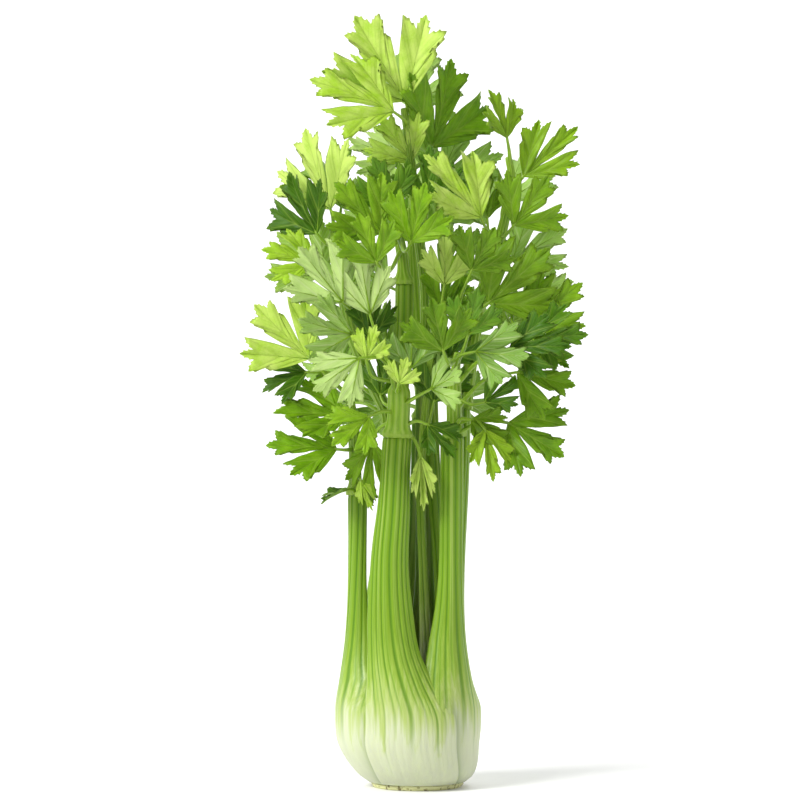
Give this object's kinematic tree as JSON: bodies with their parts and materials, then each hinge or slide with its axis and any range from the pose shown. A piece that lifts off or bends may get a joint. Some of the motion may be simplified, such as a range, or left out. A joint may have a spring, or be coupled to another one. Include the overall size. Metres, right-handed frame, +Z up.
{
  "type": "head of celery",
  "caption": "Head of celery standing on its flat cut butt, with ribbed crescent stalks round a pale bulb and a crown of broad toothed leaves.",
  "frame": {"origin": "centre of the flat cut face under the butt", "axes": "+Z up along the stalks; -Y is the front, +X is to the right of someone who looks at the front"},
  "size_m": [0.2069, 0.1455, 0.4653],
  "materials": {
    "butt": "matte, fibrous cut",
    "stalk": "waxy, ribbed, white at the foot",
    "heart_stalk": "waxy, ribbed, pale",
    "leaf": "satin upper face, pale underside"
  },
  "bodies": {
    "root": {"butt": "butt", "front_stalk": "stalk", "right_back_stalk": "stalk", "left_stalk": "stalk", "right_stalk": "stalk", "left_back_stalk": "stalk", "back_stalk": "stalk", "inner_left_stalk": "stalk", "inner_right_stalk": "stalk", "inner_back_stalk": "stalk", "heart_left_stalk": "heart_stalk", "heart_right_stalk": "heart_stalk", "front_frond": "leaf", "right_back_frond": "leaf", "left_frond": "leaf", "right_frond": "leaf", "left_back_frond": "leaf", "back_frond": "leaf", "inner_left_frond": "leaf", "inner_right_frond": "leaf", "inner_back_frond": "leaf", "heart_left_frond": "leaf", "heart_right_frond": "leaf"}
  },
  "joints": []
}
